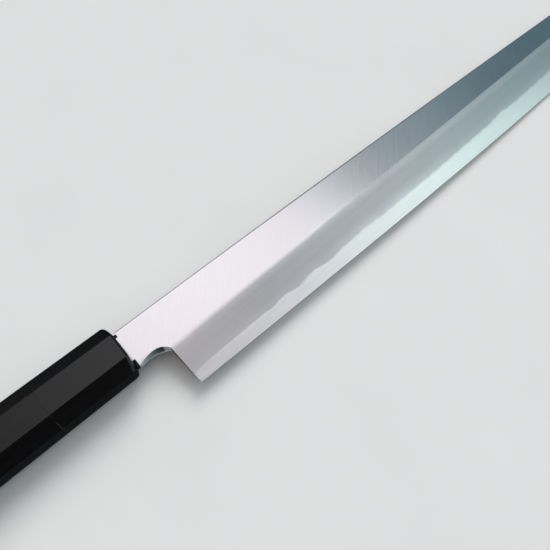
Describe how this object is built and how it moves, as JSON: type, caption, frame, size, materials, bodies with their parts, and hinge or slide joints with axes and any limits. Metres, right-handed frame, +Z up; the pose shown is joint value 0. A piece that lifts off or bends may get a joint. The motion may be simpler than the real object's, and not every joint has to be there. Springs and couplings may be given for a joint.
{
  "type": "slicing knife",
  "caption": "Long single-bevel slicing knife with a rounded sword-like tip, a two-layer welded blade and an octagonal dark wood handle with a horn ferrule.",
  "frame": {"origin": "under the middle of the knife's bounding box, on the plane of the handle's lowest edge", "axes": "+X along the handle's axis from the butt to the tip, +Y from the cutting edge to the spine, +Z up out of the bevelled face, so the knife lies on its hollow back"},
  "size_m": [0.445, 0.0412, 0.0215],
  "materials": {
    "iron": "soft iron, satin flat and hazy stone-finished bevel",
    "steel": "hard carbon steel, bright polish",
    "horn": "black horn, satin polish",
    "ebony": "black hardwood, oiled satin",
    "dowel_wood": "plain pale wood, bare",
    "resin": "dark resin, dull"
  },
  "bodies": {
    "root": {"blade_iron": "iron", "edge_steel": "steel", "ferrule": "horn", "handle_body": "ebony", "core_dowel": "dowel_wood", "mouth_seal": "resin"}
  },
  "joints": []
}
